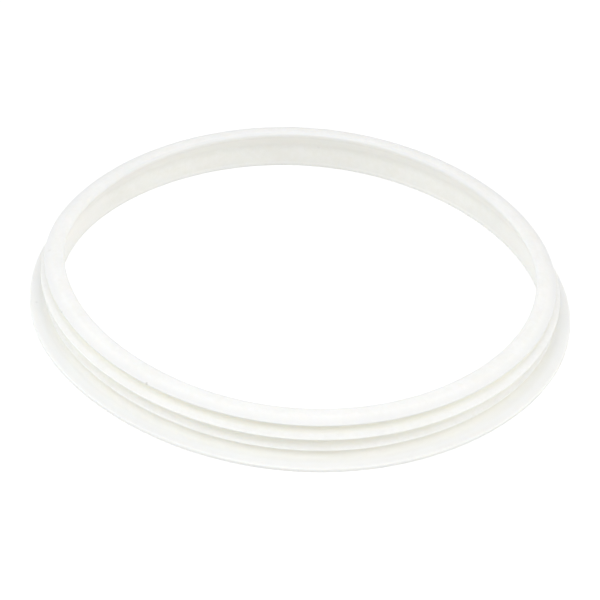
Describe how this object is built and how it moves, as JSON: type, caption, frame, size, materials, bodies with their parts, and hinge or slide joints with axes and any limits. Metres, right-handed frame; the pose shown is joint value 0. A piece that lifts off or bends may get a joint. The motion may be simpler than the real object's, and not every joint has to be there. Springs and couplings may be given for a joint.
{
  "type": "rubber gasket",
  "caption": "Soft white moulded ring gasket with a thin base flange, thin barbed sealing lips round its outside and a rounded head that leans in over a plain bore.",
  "frame": {"origin": "centre of the ring on the flat underside of its flange", "axes": "+Z along the ring's axis, from the flange up to the head; the section is the same all round, so X and Y are free"},
  "size_m": [0.178, 0.178, 0.0156],
  "materials": {
    "white_silicone": "matte"
  },
  "bodies": {
    "root": {"gasket_ring": "white_silicone"}
  },
  "joints": []
}
